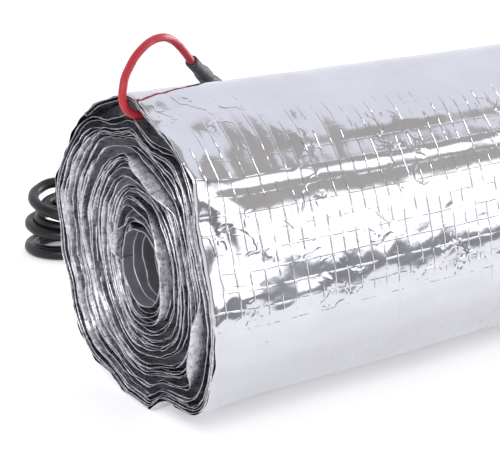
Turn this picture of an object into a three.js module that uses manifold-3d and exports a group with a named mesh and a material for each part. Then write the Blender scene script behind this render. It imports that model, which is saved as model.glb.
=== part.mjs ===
// A foil underfloor heating mat, rolled up as it is sold, with its heating cable
// coming out of the outermost turn and its cold lead folded into a hank behind the roll.
// Millimetres, +Z up. The roll's axis runs along X. The origin lies on the floor, under the
// middle of the roll.

import * as THREE from 'three';
import * as BufferGeometryUtils from 'three/addons/utils/BufferGeometryUtils.js';
import Module from 'manifold-3d';

const wasm = await Module();
wasm.setup();

// The roll: the mat's width is the roll's length.
const ROLL_LENGTH = 500;
const TURNS = 16;
const STEPS_PER_TURN = 26;
const OUTLINE_STEPS = 60;
const BORE_RADIUS = 19.8;
const BORE_CENTRE = new THREE.Vector2( - 10.7, 75.3 );

// The gaps between the turns, seen on both ends of the roll.
const TURN_GAP = 1.4;
const TURN_GAP_DEPTH = 10;
const CUT_OVERRUN = 1;

// The outermost turn lifts off the roll just before its free edge.
const LIFTED_GAP = 7.6;
const LIFTED_SHARE_OF_TURN = 0.18;
const LIFTING_SHARE_OF_TURN = 0.05;
const FREE_EDGE_SHARE_OF_OUTLINE = 0.1;

// The outline of the wound roll, seen from the end at +X looking back: y, z. It sags on the floor.
const ROLL_OUTLINE = [
	[ - 6, 163 ], [ 14, 158 ], [ 36, 150 ], [ 50, 142 ], [ 66, 121 ], [ 78, 101 ],
	[ 80, 92 ], [ 76, 74 ], [ 75, 61 ], [ 67, 45 ], [ 64, 31 ], [ 56, 18 ],
	[ 44, 9.5 ], [ 24, 5.5 ], [ 5, 0 ], [ - 16, 0 ], [ - 30, 10 ], [ - 45, 12.5 ],
	[ - 60, 14.5 ], [ - 70, 21 ], [ - 76, 35 ], [ - 80, 62 ], [ - 78, 75 ], [ - 72, 91 ],
	[ - 66, 109 ], [ - 63, 127 ], [ - 55, 139 ], [ - 39, 148 ], [ - 20, 155 ],
];

// The heating cable, its shrink sleeve and the cold lead.
const CABLE_DIAMETER = 4.2;
const LEAD_DIAMETER = 7.5;
const SLEEVE_WALL = 1;
const SLEEVE_LENGTH = 27.6;
const SLEEVE_NARROW_LENGTH = 15;
const SLEEVE_TAPER_LENGTH = 5;
const TOUCHING_GAP = 0.3;
const FLOOR_CLEARANCE = 0.05;

// The hank of cold lead lies behind the roll, its runs along X.
const HANK_RUN_LENGTH = 135;
const HANK_FOLD_RADIUS = 24;
const HANK_END_HEIGHT = 44;
const HANK_END_EDGE_HEIGHT = 35.2;
const HANK_WAIST_WIDTH = 34;
const HANK_WAIST_HEIGHT = 26;
const HANK_CENTRE_X = - 100;
const HANK_CENTRE_Y = 243;
const HANK_FLOOR_CLEARANCE = 1.6;

// The tie round the hank's waist.
const TIE_WIDTH = 4.8;
const TIE_THICKNESS = 1.2;
const TIE_SLACK = 0.5;

// The stripped far end of the lead. Its cores leave the sheath as a triangle and fan out.
const TAIL_LENGTH = 42;
const CORE_DIAMETER = 2.8;
const CORE_LENGTH = 34;
const CORE_SPREAD = 7;
const CORE_SIDE_OFFSET = 1.7;
const CORE_LOWER_OFFSET = 1.5;
const CORE_UPPER_OFFSET = 1.3;
const CORE_BEND_STARTS = 0.3;
const CORE_BEND_ENDS = 0.7;

// Vertices closer than this are one vertex of a solid.
const SAME_VERTEX_DISTANCE = 1e-4;

// The heating cable's route: out of the lifted turn, up in a loop and into its sleeve.
const CABLE_ROUTE = [
	[ - 240.4, - 7, 152.6 ], [ - 243.6, - 7, 152.6 ], [ - 247, - 7, 152.8 ],
	[ - 250.8, - 7, 154.4 ], [ - 253.6, - 7, 157.8 ], [ - 254.6, - 6.8, 162.4 ],
	[ - 253.6, - 6, 167.2 ], [ - 251.2, - 4, 171.6 ], [ - 247.6, - 2, 175.6 ],
	[ - 243.2, 0, 179.8 ], [ - 237.8, 2, 183.3 ], [ - 231.2, 5, 185.7 ],
	[ - 223.7, 8, 186.4 ], [ - 216.1, 12, 184.4 ], [ - 209.4, 15, 180.2 ],
	[ - 203.8, 17.6, 175.2 ], [ - 199.1, 19.9, 170.5 ],
];

// The sleeve lies on the roll's back shoulder, from the cable's end towards the lead.
const SLEEVE_MOUTH = new THREE.Vector3( - 198.9, 20, 170.3 );
const SLEEVE_END = new THREE.Vector3( - 179.6, 35.2, 156.8 );

// The cold lead's route: down the roll's back, along the floor and into the hank.
const LEAD_ROUTE = [
	[ - 179.4, 35.4, 156.6 ], [ - 168.5, 44.6, 151.4 ], [ - 158.5, 54.2, 145.2 ],
	[ - 150, 63.4, 135.2 ], [ - 143, 72.6, 121.4 ], [ - 137, 81.6, 105 ],
	[ - 131, 86.6, 86 ], [ - 125, 88.4, 66 ], [ - 118, 91, 46 ],
	[ - 109, 97, 27 ], [ - 96, 107, 11.5 ], [ - 78, 119.5, 4.6 ],
	[ - 57, 131, 3.8 ], [ - 32, 143, 3.8 ], [ - 10, 152.5, 3.8 ],
	[ 10, 163, 3.8 ], [ 24, 178, 3.8 ], [ 28, 195, 3.8 ],
	[ 20, 211, 3.8 ], [ 5, 218.6, 3.8 ], [ - 13, 219, 3.8 ],
];

const materials = {
	foil: new THREE.MeshStandardMaterial( { color: 0xd6d7e0, roughness: 0.3, metalness: 0.9 } ),
	heatingCable: new THREE.MeshStandardMaterial( { color: 0xae3c46, roughness: 0.4, metalness: 0 } ),
	sleeve: new THREE.MeshStandardMaterial( { color: 0x4a4a4c, roughness: 0.5, metalness: 0 } ),
	lead: new THREE.MeshStandardMaterial( { color: 0x242426, roughness: 0.4, metalness: 0 } ),
	tie: new THREE.MeshStandardMaterial( { color: 0x1c1c1d, roughness: 0.5, metalness: 0 } ),
	brownCore: new THREE.MeshStandardMaterial( { color: 0x6b3f24, roughness: 0.4, metalness: 0 } ),
	blueCore: new THREE.MeshStandardMaterial( { color: 0x2c63b0, roughness: 0.4, metalness: 0 } ),
	earthCore: new THREE.MeshStandardMaterial( { color: 0x7c9a2e, roughness: 0.4, metalness: 0 } ),
};

const model = new THREE.Group();

function addPiece( name, geometry, material ) {

	const mesh = new THREE.Mesh( geometry, material );
	mesh.name = name;
	model.add( mesh );
	return mesh;

}

// Boolean work needs bare positions with shared vertices.
function toSolid( geometry ) {

	const bare = geometry.clone();
	bare.deleteAttribute( 'normal' );
	bare.deleteAttribute( 'uv' );
	const merged = BufferGeometryUtils.mergeVertices( bare, SAME_VERTEX_DISTANCE );
	const vertProperties = new Float32Array( merged.attributes.position.array );
	const triVerts = new Uint32Array( merged.index.array );
	return new wasm.Manifold( new wasm.Mesh( { numProp: 3, vertProperties, triVerts } ) );

}

function toGeometry( solid ) {

	const mesh = solid.getMesh();
	const geometry = new THREE.BufferGeometry();
	geometry.setAttribute( 'position', new THREE.BufferAttribute( mesh.vertProperties, 3 ) );
	geometry.setIndex( new THREE.BufferAttribute( mesh.triVerts, 1 ) );
	geometry.computeVertexNormals();
	return geometry;

}

// A shape drawn in y and z, extruded along X from x = start.
function extrudeAlongX( shape, start, length ) {

	const geometry = new THREE.ExtrudeGeometry( shape, { depth: length, bevelEnabled: false } );
	const axes = new THREE.Matrix4().makeBasis(
		new THREE.Vector3( 0, 1, 0 ),
		new THREE.Vector3( 0, 0, 1 ),
		new THREE.Vector3( 1, 0, 0 )
	);
	geometry.applyMatrix4( axes );
	geometry.translate( start, 0, 0 );
	return geometry;

}

// A round tube along a hand-chosen route.
function tubeAlong( route, diameter, sides, steps ) {

	const curve = new THREE.CatmullRomCurve3( route.map( ( point ) => new THREE.Vector3( ...point ) ) );
	const section = new THREE.Shape();
	for ( let side = 0; side < sides; side ++ ) {

		const angle = 2 * Math.PI * side / sides;
		const x = Math.cos( angle ) * diameter / 2;
		const y = Math.sin( angle ) * diameter / 2;
		if ( side === 0 ) section.moveTo( x, y );
		else section.lineTo( x, y );

	}

	section.closePath();
	return new THREE.ExtrudeGeometry( section, { steps, extrudePath: curve, bevelEnabled: false } );

}

// The roll's outline as a smooth closed curve. Where it would dip below the floor it lies flat.
const outlineCurve = new THREE.CatmullRomCurve3(
	ROLL_OUTLINE.map( ( [ y, z ] ) => new THREE.Vector3( y, z, 0 ) ), true, 'centripetal'
);

function outlinePoint( share ) {

	const point = outlineCurve.getPointAt( share - Math.floor( share ) );
	return new THREE.Vector2( point.x, Math.max( point.y, 0 ) );

}

// A point inside a flat stretch on the floor isn't a corner of the outline.
function isCorner( point, index, points ) {

	const before = points[ ( index + points.length - 1 ) % points.length ];
	const after = points[ ( index + 1 ) % points.length ];
	return Math.max( before.y, point.y, after.y ) > 0;

}

// A point between the bore (0) and the outline (1), moved outwards by a distance.
function turnPoint( share, depthShare, outwards ) {

	const outer = outlinePoint( share );
	const direction = outer.clone().sub( BORE_CENTRE ).normalize();
	const inner = BORE_CENTRE.clone().addScaledVector( direction, BORE_RADIUS );
	return inner.lerp( outer, depthShare ).addScaledVector( direction, outwards );

}

function smoothStep( value ) {

	const clamped = THREE.MathUtils.clamp( value, 0, 1 );
	return clamped * clamped * ( 3 - 2 * clamped );

}

// The spiral gap between the turns. It starts one turn out from the bore, winds outwards and
// opens under the lifted end of the outermost turn, at the mat's free edge.
function turnGapShape() {

	const wound = TURNS - 2;
	const steps = wound * STEPS_PER_TURN;
	const outerSide = [];
	const innerSide = [];
	for ( let step = 0; step <= steps; step ++ ) {

		const turn = step / STEPS_PER_TURN;
		const share = FREE_EDGE_SHARE_OF_OUTLINE + turn;
		const depthShare = ( turn + 1 ) / TURNS;
		const lift = smoothStep( ( turn - wound + LIFTED_SHARE_OF_TURN ) / LIFTING_SHARE_OF_TURN );
		const width = TURN_GAP + ( LIFTED_GAP - TURN_GAP ) * lift;
		outerSide.push( turnPoint( share, depthShare, TURN_GAP / 2 ) );
		innerSide.push( turnPoint( share, depthShare, TURN_GAP / 2 - width ) );

	}

	const mouth = turnPoint( FREE_EDGE_SHARE_OF_OUTLINE, 1, LIFTED_GAP );
	const mouthBack = turnPoint( FREE_EDGE_SHARE_OF_OUTLINE + 0.5 / STEPS_PER_TURN, 1, LIFTED_GAP );
	return new THREE.Shape( [ ...outerSide, mouth, mouthBack, ...innerSide.reverse() ] );

}

function rollGeometry() {

	const outline = [];
	const bore = [];
	for ( let step = 0; step < OUTLINE_STEPS; step ++ ) {

		const share = step / OUTLINE_STEPS;
		outline.push( outlinePoint( share ) );
		bore.push( turnPoint( share, 0, 0 ) );

	}

	const shape = new THREE.Shape( outline.filter( isCorner ) );
	shape.holes.push( new THREE.Path( bore.reverse() ) );

	const half = ROLL_LENGTH / 2;
	const gap = turnGapShape();
	const nearGap = extrudeAlongX( gap, - half - CUT_OVERRUN, TURN_GAP_DEPTH + CUT_OVERRUN );
	const farGap = extrudeAlongX( gap, half - TURN_GAP_DEPTH, TURN_GAP_DEPTH + CUT_OVERRUN );
	const roll = toSolid( extrudeAlongX( shape, - half, ROLL_LENGTH ) );
	return toGeometry( roll.subtract( toSolid( nearGap ) ).subtract( toSolid( farGap ) ) );

}

// The shrink sleeve: narrow over the heating cable, wider over the cold lead.
function addSleeve() {

	const narrow = CABLE_DIAMETER / 2 + SLEEVE_WALL;
	const wide = LEAD_DIAMETER / 2 + SLEEVE_WALL / 2;
	const taperEnd = SLEEVE_NARROW_LENGTH + SLEEVE_TAPER_LENGTH;
	const profile = [
		new THREE.Vector2( 0, TOUCHING_GAP ),
		new THREE.Vector2( narrow, TOUCHING_GAP ),
		new THREE.Vector2( narrow, SLEEVE_NARROW_LENGTH ),
		new THREE.Vector2( wide, taperEnd ),
		new THREE.Vector2( wide, SLEEVE_LENGTH ),
		new THREE.Vector2( 0, SLEEVE_LENGTH ),
	];
	const sleeve = addPiece( 'splice_sleeve', new THREE.LatheGeometry( profile, 12 ), materials.sleeve );
	const direction = SLEEVE_END.clone().sub( SLEEVE_MOUTH ).normalize();
	sleeve.position.copy( SLEEVE_MOUTH );
	sleeve.quaternion.setFromUnitVectors( new THREE.Vector3( 0, 1, 0 ), direction );

}

// An outline with two round ends and a waist, for the hank seen from above or from the side.
function waistedOutline( halfLength, halfWidth, waistHalfWidth ) {

	const outline = new THREE.Shape();
	const shoulder = halfLength - halfWidth;
	const waistReach = shoulder / 2;
	outline.moveTo( - shoulder, - halfWidth );
	outline.quadraticCurveTo( - waistReach, - waistHalfWidth, 0, - waistHalfWidth );
	outline.quadraticCurveTo( waistReach, - waistHalfWidth, shoulder, - halfWidth );
	outline.absarc( shoulder, 0, halfWidth, - Math.PI / 2, Math.PI / 2, false );
	outline.quadraticCurveTo( waistReach, waistHalfWidth, 0, waistHalfWidth );
	outline.quadraticCurveTo( - waistReach, waistHalfWidth, - shoulder, halfWidth );
	outline.absarc( - shoulder, 0, halfWidth, Math.PI / 2, 3 * Math.PI / 2, false );
	return outline;

}

const hankHalfWidth = HANK_FOLD_RADIUS + LEAD_DIAMETER / 2;
const hankHalfLength = HANK_RUN_LENGTH / 2 + hankHalfWidth;

// The hank's outer shape: its outline from above and its outline from the side, cut together.
function hankGeometry() {

	const plan = waistedOutline( hankHalfLength, hankHalfWidth, HANK_WAIST_WIDTH / 2 );
	const fromAbove = new THREE.ExtrudeGeometry( plan, {
		depth: HANK_END_HEIGHT, bevelEnabled: false, curveSegments: 8,
	} );
	const shoulder = hankHalfLength - hankHalfWidth / 2;
	const waistReach = HANK_RUN_LENGTH / 4;
	const side = new THREE.Shape();
	side.moveTo( - hankHalfLength, 0 );
	side.lineTo( hankHalfLength, 0 );
	side.lineTo( hankHalfLength, HANK_END_EDGE_HEIGHT );
	side.lineTo( shoulder, HANK_END_HEIGHT );
	side.quadraticCurveTo( waistReach, HANK_WAIST_HEIGHT, 0, HANK_WAIST_HEIGHT );
	side.quadraticCurveTo( - waistReach, HANK_WAIST_HEIGHT, - shoulder, HANK_END_HEIGHT );
	side.lineTo( - hankHalfLength, HANK_END_EDGE_HEIGHT );
	const fromSide = new THREE.ExtrudeGeometry( side, {
		depth: 4 * hankHalfWidth, bevelEnabled: false, curveSegments: 8,
	} );
	fromSide.rotateX( Math.PI / 2 );
	fromSide.translate( 0, 2 * hankHalfWidth, 0 );
	const hank = toGeometry( toSolid( fromAbove ).intersect( toSolid( fromSide ) ) );
	hank.translate( HANK_CENTRE_X, HANK_CENTRE_Y, HANK_FLOOR_CLEARANCE );
	return hank;

}

// The tie: a thin band that passes round the waist and under it.
function tieGeometry() {

	const insideHalfWidth = HANK_WAIST_WIDTH / 2 + TIE_SLACK;
	const insideBottom = HANK_FLOOR_CLEARANCE - TOUCHING_GAP;
	const insideTop = HANK_FLOOR_CLEARANCE + HANK_WAIST_HEIGHT + TIE_SLACK;
	const band = new THREE.Shape();
	band.moveTo( - insideHalfWidth - TIE_THICKNESS, insideBottom - TIE_THICKNESS );
	band.lineTo( insideHalfWidth + TIE_THICKNESS, insideBottom - TIE_THICKNESS );
	band.lineTo( insideHalfWidth + TIE_THICKNESS, insideTop + TIE_THICKNESS );
	band.lineTo( - insideHalfWidth - TIE_THICKNESS, insideTop + TIE_THICKNESS );
	const inside = new THREE.Path();
	inside.moveTo( - insideHalfWidth, insideBottom );
	inside.lineTo( insideHalfWidth, insideBottom );
	inside.lineTo( insideHalfWidth, insideTop );
	inside.lineTo( - insideHalfWidth, insideTop );
	band.holes.push( inside );
	const tie = extrudeAlongX( band, HANK_CENTRE_X - TIE_WIDTH / 2, TIE_WIDTH );
	tie.translate( 0, HANK_CENTRE_Y, 0 );
	return tie;

}

// The far end of the lead comes out of the hank beside its last run, and ends in three cores.
function addTailAndCores() {

	const start = LEAD_ROUTE[ LEAD_ROUTE.length - 1 ][ 0 ];
	const y = HANK_CENTRE_Y + HANK_FOLD_RADIUS;
	const z = LEAD_DIAMETER / 2 + FLOOR_CLEARANCE;
	const end = start + TAIL_LENGTH;
	const tail = [ [ start, y, z ], [ start + TAIL_LENGTH / 2, y, z ], [ end, y, z ] ];
	addPiece( 'cold_lead_tail', tubeAlong( tail, LEAD_DIAMETER, 8, 3 ), materials.lead );

	// Each core: its name, its material, its side of the lead and its height in the sheath.
	const cores = [
		[ 'core_brown', materials.brownCore, - 1, z - CORE_LOWER_OFFSET ],
		[ 'core_blue', materials.blueCore, 1, z - CORE_LOWER_OFFSET ],
		[ 'core_earth', materials.earthCore, 0, z + CORE_UPPER_OFFSET ],
	];
	const from = end + TOUCHING_GAP;
	for ( const [ name, material, side, height ] of cores ) {

		const beside = y + side * CORE_SIDE_OFFSET;
		const fanned = beside + side * CORE_SPREAD;
		const lying = side === 0 ? height : CORE_DIAMETER / 2 + FLOOR_CLEARANCE;
		const route = [
			[ from, beside, height ],
			[ from + CORE_LENGTH * CORE_BEND_STARTS, beside, height ],
			[ from + CORE_LENGTH * CORE_BEND_ENDS, ( beside + fanned ) / 2, lying ],
			[ from + CORE_LENGTH, fanned, lying ],
		];
		addPiece( name, tubeAlong( route, CORE_DIAMETER, 8, 6 ), material );

	}

}

addPiece( 'foil_mat_roll', rollGeometry(), materials.foil );
addPiece( 'heating_cable', tubeAlong( CABLE_ROUTE, CABLE_DIAMETER, 10, 22 ), materials.heatingCable );
addSleeve();
addPiece( 'cold_lead', tubeAlong( LEAD_ROUTE, LEAD_DIAMETER, 8, 34 ), materials.lead );
addPiece( 'cold_lead_hank', hankGeometry(), materials.lead );
addPiece( 'hank_tie', tieGeometry(), materials.tie );
addTailAndCores();

export default model;
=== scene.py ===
# %% [markdown]
# # A rolled foil heating mat
# This lesson builds an underfloor heating mat as it is sold: two sheets of aluminium foil with
# a woven scrim, a red heating cable laid between them, wound up to a roll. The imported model
# gives the frame, so each piece is made in metres where that model says.

# %% Load the frame
import math

import bpy
import numpy as np
from mathutils import Matrix, Vector


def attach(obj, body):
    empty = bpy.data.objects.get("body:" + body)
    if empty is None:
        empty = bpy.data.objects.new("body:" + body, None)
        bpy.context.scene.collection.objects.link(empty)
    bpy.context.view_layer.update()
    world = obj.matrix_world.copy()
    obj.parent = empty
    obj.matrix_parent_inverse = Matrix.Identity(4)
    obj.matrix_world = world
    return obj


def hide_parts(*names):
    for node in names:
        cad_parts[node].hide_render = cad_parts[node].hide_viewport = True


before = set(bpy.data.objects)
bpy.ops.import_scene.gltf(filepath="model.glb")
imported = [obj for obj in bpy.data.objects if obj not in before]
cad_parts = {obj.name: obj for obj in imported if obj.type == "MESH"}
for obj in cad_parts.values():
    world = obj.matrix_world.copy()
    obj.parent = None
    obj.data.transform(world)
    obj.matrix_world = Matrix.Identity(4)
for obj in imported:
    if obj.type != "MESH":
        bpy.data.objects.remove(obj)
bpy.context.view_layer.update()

MM = 0.001

# %% [markdown]
# The camera stands where the photographer stood: a long lens, to the right of the roll's
# axis and a little above it. Three directions fix it, so nothing is left to trial and error.

# %% Camera
PHOTO_SIZE = (500, 450)
FOCAL_LENGTH_PX = 1300
SENSOR_WIDTH = 36
CAMERA_PLACE = Vector((-0.55145, -0.54839, 0.29176))
CAMERA_RIGHT = Vector((0.825, -0.5654, 0))
CAMERA_UP = Vector((0.1697, 0.2481, 0.9537))


def make_camera():
    """The photograph's camera, level and without shift."""
    data = bpy.data.cameras.new("photo_camera")
    data.sensor_width = SENSOR_WIDTH
    data.lens = SENSOR_WIDTH * FOCAL_LENGTH_PX / PHOTO_SIZE[0]
    camera = bpy.data.objects.new("photo_camera", data)
    bpy.context.scene.collection.objects.link(camera)
    right = CAMERA_RIGHT.normalized()
    back = right.cross(CAMERA_UP).normalized()
    up = back.cross(right)
    turn = Matrix((right, up, back)).transposed()
    camera.matrix_world = Matrix.Translation(CAMERA_PLACE) @ turn.to_4x4()
    bpy.context.scene.camera = camera
    return camera


camera = make_camera()
print("Lens in mm:", round(camera.data.lens, 1))

# %% [markdown]
# Cables are curves: one line through given points, with a round bevel of half the
# cable's diameter. A Bezier spline with automatic handles bends as evenly as a real sheath, and
# a mesh swept by hand would need far more code for the same tube.

# %% A cable from its route
CABLE_DIAMETER = 4.2 * MM
LEAD_DIAMETER = 7.5 * MM


def add_object(name, data):
    """Link new data to the scene as an object that rides with the model."""
    made = bpy.data.objects.new(name, data)
    bpy.context.scene.collection.objects.link(made)
    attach(made, "root")
    return made


def cable_along(name, route, diameter, round_steps=6):
    """A cable whose centre follows the route, given in metres."""
    curve = bpy.data.curves.new(name, "CURVE")
    curve.dimensions = "3D"
    # The bevel is a unit circle and each point scales it, so the curve's box stays tight.
    curve.bevel_depth = 1
    curve.bevel_resolution = round_steps
    curve.resolution_u = 6
    curve.use_fill_caps = True
    spline = curve.splines.new("BEZIER")
    spline.bezier_points.add(len(route) - 1)
    for point, place in zip(spline.bezier_points, route):
        point.co = place
        point.radius = diameter / 2
        point.handle_left_type = "AUTO"
        point.handle_right_type = "AUTO"
    return add_object(name, curve)


def route_length(route):
    """The length of a cable along its route, from point to point."""
    places = [Vector(place) for place in route]
    return sum((b - a).length for a, b in zip(places, places[1:]))


print("Cable diameters in mm:", CABLE_DIAMETER / MM, LEAD_DIAMETER / MM)

# %% [markdown]
# The red heating cable comes out under the lifted outermost turn, stands up in a loop and
# drops into its shrink sleeve. It is stiff enough to hold that loop by itself.

# %% The heating cable's loop
CABLE_ROUTE_MM = [
    (-240.4, -7, 152.6), (-243.6, -7, 152.6), (-247, -7, 152.8), (-250.8, -7, 154.4),
    (-253.6, -7, 157.8), (-254.6, -6.8, 162.4), (-253.6, -6, 167.2), (-251.2, -4, 171.6),
    (-247.6, -2, 175.6), (-243.2, 0, 179.8), (-237.8, 2, 183.3), (-231.2, 5, 185.7),
    (-223.7, 8, 186.4), (-216.1, 12, 184.4), (-209.4, 15, 180.2), (-203.8, 17.6, 175.2),
    (-199.1, 19.9, 170.5), (-197.4, 21.2, 169.2),
]
cable_route = [Vector(point) * MM for point in CABLE_ROUTE_MM]
heating_cable = cable_along("heating_cable_loop", cable_route, CABLE_DIAMETER)
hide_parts("heating_cable")
print("Heating cable outside the mat, in mm:", round(route_length(cable_route) / MM))

# %% [markdown]
# The black cold lead is one cable too: down the roll's back, along the floor, six turns round
# the hank, and out as a tail. A lead falls as it likes, so its way to the hank is a list of
# given points.

# %% The cold lead's route from the sleeve to the hank
LEAD_ROUTE_MM = [
    (-182.6, 32.8, 158.9), (-179.4, 35.4, 156.6), (-168.5, 44.6, 151.4), (-158.5, 54.2, 145.2),
    (-150, 63.4, 135.2), (-143, 72.6, 121.4), (-137, 81.6, 105), (-131, 86.6, 86),
    (-125, 88.4, 66), (-118, 91, 46), (-109, 97, 27), (-96, 107, 11.5), (-78, 119.5, 4.6),
    (-57, 131, 3.8), (-32, 143, 3.8), (-10, 152.5, 3.8), (10, 163, 3.8), (24, 178, 3.8),
    (28, 195, 3.8), (20, 211, 3.8), (5, 218.6, 3.8), (-13, 219, 3.9),
]
print("Points from the sleeve to the hank:", len(LEAD_ROUTE_MM))

# %% [markdown]
# The rest of the lead is folded to a hank and tied. It is wound in a loop here: each turn has a
# front run, a left fold, a back run and a right fold. The left folds fan out in three pairs,
# each a wide and a narrow fold. The tips of the lowest two run into each other, which a soft
# cable would not do. At the tie each pair of runs turns from one above the other to side by
# side, which the function below works out for any point of a run.

# %% The hank's runs
# Sizes and places are in mm, and the hank's middle is where its tie is.
HANK_CENTRE_X = -100
HANK_CENTRE_Y = 243
HANK_RUN = 135
FOLD_RADIUS = 24
HANK_TURNS = 6
LEAD_MM = LEAD_DIAMETER / MM
TIE_ROW_Z = 5.35
FLOOR_Z = 3.9
# Each left fold: its height at the front run, at its tip and at the back run, how far its tip
# draws back from the outermost one, and its radius.
LEFT_FOLDS = [
    (3.9, 3.9, 3.9, 0, 24), (4.3, 4.3, 4.3, 3, 17), (15, 19.5, 21, 1, 24),
    (19, 23, 26, 7, 18), (29, 32, 34, 12, 17), (26.5, 36, 42, 4.5, 24.5),
]
# The right folds lie further out than the left ones.
RIGHT_EXTRA = 5


def ease(share):
    """A smooth step from 0 to 1."""
    share = min(max(share, 0), 1)
    return share * share * (3 - 2 * share)


def run_place(turn, front, share, end_height, radius):
    """A point of a run, from the tie (share 0) to the fold (share 1): its y and z."""
    pair, upper = divmod(turn, 2)
    quarter = math.pi / 2 * (1 - ease(share))
    sign = -1 if front else 1
    inner = bool(upper) != (pair == 2)
    beside = math.sin(quarter) * LEAD_MM / 2 * (1 if inner else -1)
    tie_y, tie_z = LEAD_MM, TIE_ROW_Z + LEAD_MM * pair
    across = tie_y + (radius - tie_y) * ease(share)
    y = HANK_CENTRE_Y + sign * (across - beside)
    return y, tie_z + (end_height - tie_z) * ease(share)


print("Hank runs in mm, from fold to fold:", HANK_RUN)

# %% [markdown]
# With the runs known, the turns follow one another: right half of the front run, left half,
# left fold, back run, and a right fold that climbs to the next turn. The last run leaves the
# tie on the outside, drops to the floor and ends as the tail, again by listed points.

# %% The hank's turns and the whole cold lead
RUN_STEPS = 4
FOLD_STEPS = 6


def hank_turns():
    """The points of all the hank's turns, in millimetres."""
    half = HANK_RUN / 2
    points = []
    for turn in range(HANK_TURNS):
        front_z, tip_z, back_z, drawn, radius = LEFT_FOLDS[turn]
        right_z = FLOOR_Z + LEAD_MM * turn
        for step in range(RUN_STEPS, 0, -1):
            y, z = run_place(turn, True, step / RUN_STEPS, right_z, FOLD_RADIUS)
            points.append((HANK_CENTRE_X + (half + RIGHT_EXTRA) * step / RUN_STEPS, y, z))
        for step in range(0, RUN_STEPS + 1):
            y, z = run_place(turn, True, step / RUN_STEPS, front_z, radius)
            points.append((HANK_CENTRE_X - (half - drawn) * step / RUN_STEPS, y, z))
        for step in range(1, FOLD_STEPS):
            angle = math.pi * step / FOLD_STEPS
            share = step / FOLD_STEPS
            z = front_z + (back_z - front_z) * share
            z += (tip_z - (front_z + back_z) / 2) * math.sin(angle)
            points.append((
                HANK_CENTRE_X - half + drawn - FOLD_RADIUS * math.sin(angle),
                HANK_CENTRE_Y - radius * math.cos(angle), z,
            ))
        for step in range(RUN_STEPS, -1, -1):
            y, z = run_place(turn, False, step / RUN_STEPS, back_z, radius)
            points.append((HANK_CENTRE_X - (half - drawn) * step / RUN_STEPS, y, z))
        if turn == HANK_TURNS - 1:
            break
        for step in range(1, RUN_STEPS + 1):
            y, z = run_place(turn, False, step / RUN_STEPS, right_z, FOLD_RADIUS)
            points.append((HANK_CENTRE_X + (half + RIGHT_EXTRA) * step / RUN_STEPS, y, z))
        for step in range(1, FOLD_STEPS):
            angle = math.pi * step / FOLD_STEPS
            points.append((
                HANK_CENTRE_X + half + RIGHT_EXTRA + FOLD_RADIUS * math.sin(angle),
                HANK_CENTRE_Y + FOLD_RADIUS * math.cos(angle),
                right_z + LEAD_MM * step / FOLD_STEPS,
            ))
    return points


TAIL_ROUTE_MM = [
    (-88, 257, 20.5), (-76, 264, 18.5), (-63, 270.5, 14), (-50, 274.5, 9), (-37, 276, 5),
    (-24, 274.5, 3.9), (-12, 270.5, 3.8), (0, 267.8, 3.8), (14, 267, 3.8), (29, 267, 3.8),
]
lead_route = [Vector(point) * MM for point in LEAD_ROUTE_MM[:-1] + hank_turns() + TAIL_ROUTE_MM]
cold_lead = cable_along("cold_lead_with_hank", lead_route, LEAD_DIAMETER)
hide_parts("cold_lead", "cold_lead_hank", "cold_lead_tail")
print("Cold lead in m:", round(route_length(lead_route), 3), "with", len(lead_route), "points")

# %% [markdown]
# A material is a small tree of nodes. One function adds a node, sets what it is told and
# links what is linked. Colours are written as they look on a screen, in sRGB, and turned to
# the linear light that Blender counts in.

# %% Nodes and colours
def linear(colour):
    """The linear RGBA of an sRGB hex colour."""
    parts = [int(colour[i:i + 2], 16) / 255 for i in (1, 3, 5)]
    lit = [p / 12.92 if p <= 0.04045 else ((p + 0.055) / 1.055) ** 2.4 for p in parts]
    return (*lit, 1)


def add(tree, kind, inputs=None, **settings):
    """Add a node, with its settings, its input values and its links."""
    made = tree.nodes.new(kind)
    for name, value in settings.items():
        setattr(made, name, value)
    for socket, value in (inputs or {}).items():
        if isinstance(value, bpy.types.NodeSocket):
            tree.links.new(value, made.inputs[socket])
        else:
            made.inputs[socket].default_value = value
    return made


def new_material(name):
    """An empty node material and its tree."""
    made = bpy.data.materials.new(name)
    made.use_nodes = True
    made.node_tree.nodes.clear()
    return made, made.node_tree


def finish_material(tree, shader):
    """Link the shader to the surface."""
    add(tree, "ShaderNodeOutputMaterial", {"Surface": shader.outputs["BSDF"]})


def ramp(tree, factor, stops):
    """A colour ramp through (place, hex colour) stops."""
    made = add(tree, "ShaderNodeValToRGB", {"Fac": factor})
    elements = made.color_ramp.elements
    while len(elements) < len(stops):
        elements.new(0.5)
    for element, (place, colour) in zip(elements, stops):
        element.position = place
        element.color = linear(colour)
    return made.outputs["Color"]


print("Mid grey in linear light:", round(linear("#808080")[0], 3))

# %% [markdown]
# Both sheaths are extruded, so they are smooth, with a fine unevenness from the die and faint
# dull scuffs from handling. The heating cable's is a fluoropolymer in red, which looks waxy.
# The cold lead's is PVC in black. One function makes both, because only their colours and
# gloss differ. Die marks are finer than 0.1 mm, so they are drawn coarser here, to show at all.

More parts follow.
